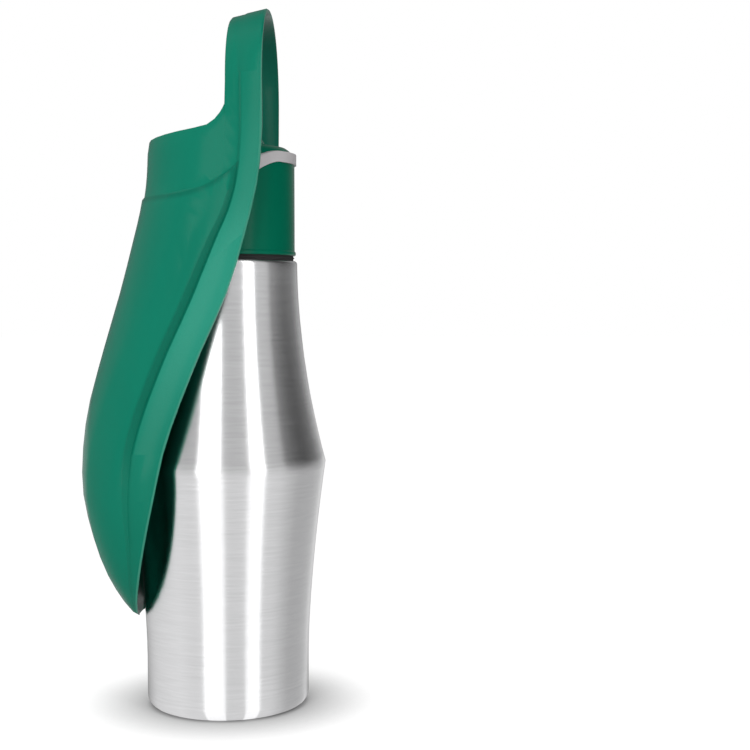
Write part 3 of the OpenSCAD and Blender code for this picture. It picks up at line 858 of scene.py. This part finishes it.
@dataclass
class Cap(Assembly):
    """The screw cap with its seals and the pale collar strap."""

    def build(self) -> None:
        """Makes and dresses the pieces."""
        eased = 0.15 * MM
        self.soften("cap_shell", "cap_moulding", Body.CAP, CAP_GREEN, angle=28, edge=eased)
        self.soften("collar_seal", "collar_strap", Body.CAP, PALE_SILICONE, angle=40)
        self.dress_node("neck_gasket", BLACK_RUBBER)
        self.dress_node("cap_liner", MILKY)
        self.dress_node("mouth_seal", PALE_SILICONE)


@dataclass
class Valve(Assembly):
    """The twist valve on the cap's deck."""

    def build(self) -> None:
        """Makes and dresses the pieces."""
        self.soften("valve_dial", "dial_moulding", Body.DIAL, DIAL_GREEN, angle=28)
        self.dress_node("valve_gasket", PALE_SILICONE)
        self.dress_node("dial_oring", BLACK_RUBBER)
        self.dress_node("dial_washer", PIN_STEEL)
        self.dress_node("dial_screw", PIN_STEEL)


@dataclass
class Scoop(Assembly):
    """The drinking scoop with its loop, and the pins that it hangs on."""

    def reshape(self, piece: bpy.types.Object) -> None:
        """Widens the rail down the leaf and deepens the groove behind it.

        Args:
            piece: The scoop's twin.
        """
        form = SCOOP_FORM
        for vertex in piece.data.vertices:
            across, back, height = (number / MM for number in vertex.co)
            edge = form.at(form.edge_line, height)
            behind = back - edge
            after = form.moved(behind, height)
            past_rail = behind - form.at(form.cad_rail, height)
            on_side = abs(across) > form.side_from
            if after > behind and form.valley_from < past_rail < form.valley_to and on_side:
                depth = form.valley_depth * min(1.0, after - behind)
                vertex.co.x -= math.copysign(depth * MM, across)
            vertex.co.y = (edge + after) * MM

    def mark(self, piece: bpy.types.Object) -> None:
        """Writes on each point how far it faces out of the scoop, from -1 inside to 1 outside.

        The plastic's painted light and shade read it, so that they stay with the piece at every
        pose.

        Args:
            piece: The scoop's twin.
        """
        form = SCOOP_FORM
        facing = piece.data.attributes.new(FACES_OUT, "FLOAT", "POINT")
        for vertex, cell in zip(piece.data.vertices, facing.data):
            across, back, height = (number / MM for number in vertex.co)
            behind = back - form.at(form.edge_line, height) + form.lean_back
            away = Vector((across, behind, max(0.0, height - form.arch_height)))
            cell.value = vertex.normal.dot(away.normalized())

    def build(self) -> None:
        """Makes and dresses the pieces."""
        eased = 0.5 * MM
        scoop = self.soften(
            "scoop", "scoop_moulding", Body.SCOOP, SCOOP_GREEN, angle=38, edge=eased
        )
        self.mark(scoop)
        self.dress_node("pivot_pins", PIN_STEEL)


# ---- Studio ----


@dataclass
class Studio:
    """The pale floor, the soft light and the camera.

    The camera looks at the bottle's side from a little in front of it, as in the photograph, where
    the bottle stands left of the frame's middle. Bearings are in degrees right of the camera's,
    seen from the bottle. sky and ground hold how bright the surround is by bearing, above and
    below the horizon. strips holds each lamp's middle bearing and half width, and strips_below the
    same for how a polished surface sees it in the floor, at strip_mirrored of white.
    """

    azimuth: float = -83.0
    distance: float = 600 * MM
    height: float = 168.5 * MM
    pitch: float = -2.99
    yaw: float = 5.90
    focal_px: float = 1433.0
    frame_px: float = 750.0
    sensor_mm: float = 36.0
    floor_size: float = 12.0
    sky: Table = (
        (-180.0, 0.15),
        (-150.0, 0.25),
        (-128.0, 0.55),
        (-110.0, 0.85),
        (-72.0, 0.85),
        (-52.0, 0.50),
        (0.0, 0.55),
        (60.0, 0.58),
        (69.0, 0.53),
        (74.0, 0.20),
        (88.0, 0.09),
        (104.0, 0.03),
        (116.0, 0.06),
        (128.0, 0.10),
        (142.0, 0.26),
        (158.0, 0.36),
        (180.0, 0.15),
    )
    ground: Table = (
        (-180.0, 0.35),
        (-150.0, 0.60),
        (-132.0, 0.76),
        (-94.0, 0.85),
        (-72.0, 0.89),
        (-48.0, 0.86),
        (0.0, 0.80),
        (60.0, 0.81),
        (70.0, 0.75),
        (84.0, 0.64),
        (95.0, 0.54),
        (122.0, 0.54),
        (140.0, 0.60),
        (158.0, 0.80),
        (180.0, 0.35),
    )
    strips: Table = ((-22.0, 12.5), (35.5, 7.5))
    strips_below: Table = ((-19.5, 14.0), (34.0, 9.5))
    strip_fade: float = 2.0
    strip_height: float = 1.4
    strip_radiance: float = 2.6
    strip_distance: float = 0.9
    strip_mirrored: float = 0.45
    bottle_radius: float = 34 * MM
    paper_grey: float = 0.86
    paper_seen: float = 0.34
    paper_glow: float = 0.86
    contact_reach: float = 0.032
    contact_samples: int = 16

    def axes(self) -> tuple[Vector, Vector]:
        """Returns the level directions from the bottle to the camera and to the picture's right."""
        angle = math.radians(self.azimuth)
        towards = Vector((math.sin(angle), -math.cos(angle), 0))
        right = Vector((math.cos(angle), math.sin(angle), 0))
        return towards, right

    def camera(self) -> None:
        """Places the camera."""
        towards, right = self.axes()
        data = bpy.data.cameras.new("photo_camera")
        data.sensor_width = self.sensor_mm
        data.lens = self.focal_px / self.frame_px * self.sensor_mm
        eye = bpy.data.objects.new("photo_camera", data)
        bpy.context.scene.collection.objects.link(eye)
        eye.location = towards * self.distance + Vector((0, 0, self.height))
        turn, tilt = math.radians(self.yaw), math.radians(self.pitch)
        level = right * math.sin(turn) - towards * math.cos(turn)
        look = level * math.cos(tilt) + Vector((0, 0, math.sin(tilt)))
        eye.rotation_euler = look.to_track_quat("-Z", "Y").to_euler()
        bpy.context.scene.camera = eye

    def strip(self, name: str, bearing: float, half: float) -> None:
        """Adds one upright soft lamp that stands on the floor and faces the bottle.

        Args:
            name: The lamp's name.
            bearing: Its direction from the bottle, in degrees right of the camera's.
            half: Half its width, in degrees as seen from the bottle.
        """
        towards, right = self.axes()
        angle = math.radians(bearing)
        width = 2 * self.strip_distance * math.tan(math.radians(half))
        data = bpy.data.lights.new(name, "AREA")
        data.shape = "RECTANGLE"
        data.size, data.size_y = width, self.strip_height
        data.energy = self.strip_radiance * math.pi * width * self.strip_height
        body = bpy.data.objects.new(name, data)
        bpy.context.scene.collection.objects.link(body)
        out = towards * math.cos(angle) + right * math.sin(angle)
        body.location = out * self.strip_distance + Vector((0, 0, 0.5 * self.strip_height))
        body.rotation_euler = (-out).to_track_quat("-Z", "Y").to_euler()

    def bearing(self, recipe: Recipe, way: Wire) -> Wire:
        """Returns the bearing of a direction.

        Args:
            recipe: The node tree's builder.
            way: The direction, or a point seen from the bottle's axis.

        Returns:
            Its angle right of the camera's, in turns.
        """
        dot = {"operation": "DOT_PRODUCT"}
        ahead, aside = (
            recipe.value("ShaderNodeVectorMath", dot, {0: way, 1: axis}, out="Value")
            for axis in self.axes()
        )
        angle = recipe.value("ShaderNodeMath", {"operation": "ARCTAN2"}, {0: aside, 1: ahead})
        return angle / (2 * math.pi)

    @staticmethod
    def around(recipe: Recipe, turn: Wire, sides: Iterable[tuple[float, float]]) -> Wire:
        """Returns a brightness that depends on the bearing.

        Args:
            recipe: The node tree's builder.
            turn: The bearing, in turns.
            sides: Pairs of bearing in degrees and brightness, in order.

        Returns:
            The brightness, where 1 is white.
        """
        stops = [((degrees + 180) / 360, grey) for degrees, grey in sides]
        return recipe.value("ShaderNodeValToRGB", {"stops": stops}, {0: turn + 0.5})

    def world(self) -> None:
        """Makes a soft surround: white for the camera, and grey with a dark side for the light."""
        world = bpy.data.worlds.new("surround")
        bpy.context.scene.world = world
        world.use_nodes = True
        recipe = Recipe(world.node_tree)
        way = recipe.value("ShaderNodeTexCoord", out="Generated")
        grey = self.around(recipe, self.bearing(recipe, way), self.sky)
        lit, white = (
            recipe.node("ShaderNodeBackground", None, {"Color": (1, 1, 1, 1), "Strength": strength})
            for strength in (grey, 1.0)
        )
        seen = recipe.value("ShaderNodeLightPath", out="Is Camera Ray")
        both = recipe.mixed(seen, lit, white)
        recipe.node("ShaderNodeOutputWorld", None, {"Surface": both.outputs[0]})

    def mirrored(self, recipe: Recipe) -> Wire:
        """Returns how bright a polished surface sees the floor.

        The surround's light and dark carry on below the horizon. A point near the bottle is seen in
        a part of the steel that faces further aside, so its bearing is widened by how near it is.

        Args:
            recipe: The floor's builder.

        Returns:
            The brightness, where 1 is white.
        """
        place = recipe.value("ShaderNodeTexCoord", out="Object")
        length = {"operation": "LENGTH"}
        reach = recipe.value("ShaderNodeVectorMath", length, {0: place}, out="Value")
        turn = self.bearing(recipe, place) / (1 - self.bottle_radius / 2 / reach)
        bright = self.around(recipe, turn, self.ground)
        for middle, half in self.strips_below:
            start, end = middle - half, middle + half
            edges = ((start - self.strip_fade, 0), (start, 1), (end, 1), (end + self.strip_fade, 0))
            bright = bright + self.around(recipe, turn, edges) * self.strip_mirrored
        return bright

    def floor(self) -> None:
        """Lays the white floor, which keeps the bottle's soft shadow.

        The camera sees it near white, and darker where the bottle hides the light from it.
        """
        bpy.ops.object.select_all(action="DESELECT")
        bpy.ops.mesh.primitive_plane_add(size=self.floor_size, location=(0, 0, 0))
        floor = bpy.context.view_layer.objects.active
        floor.name = "floor"
        material = bpy.data.materials.new("white_floor")
        material.use_nodes = True
        recipe = Recipe(material.node_tree)
        plain, seen = (
            recipe.node("ShaderNodeBsdfDiffuse", None, {"Color": (grey, grey, grey, 1)})
            for grey in (self.paper_grey, self.paper_seen)
        )
        open_sky = recipe.value(
            "ShaderNodeAmbientOcclusion",
            {"samples": self.contact_samples},
            {"Distance": self.contact_reach},
            out="AO",
        )
        glow, image = (
            recipe.node("ShaderNodeEmission", None, {"Color": (1, 1, 1, 1), "Strength": strength})
            for strength in (open_sky * open_sky * self.paper_glow, self.mirrored(recipe))
        )
        shown = recipe.node("ShaderNodeAddShader", None, {0: seen.outputs[0], 1: glow.outputs[0]})
        path = recipe.node("ShaderNodeLightPath")
        camera_ray, glossy, through = (
            Wire(recipe, path.outputs[f"Is {ray} Ray"])
            for ray in ("Camera", "Glossy", "Transmission")
        )
        for_camera = recipe.mixed(camera_ray, plain, shown)
        both = recipe.mixed(glossy + through, for_camera, image)
        recipe.node("ShaderNodeOutputMaterial", None, {"Surface": both.outputs[0]})
        floor.data.materials.append(material)

    def build(self) -> None:
        """Sets up the camera, the floor and the light."""
        bpy.context.scene.view_settings.view_transform = "Standard"
        self.camera()
        self.world()
        self.floor()
        for name, (middle, half) in zip(("left_strip", "right_strip"), self.strips):
            self.strip(name, middle, half)


def main() -> None:
    """Builds the studio and the sub-assemblies."""
    logging.basicConfig(level=logging.INFO, format="%(name)s %(message)s")
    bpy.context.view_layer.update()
    Studio().build()
    for assembly in (Bottle(), Cap(), Valve(), Scoop()):
        assembly.build()
        assembly.report()


if __name__ == "__main__":
    main()
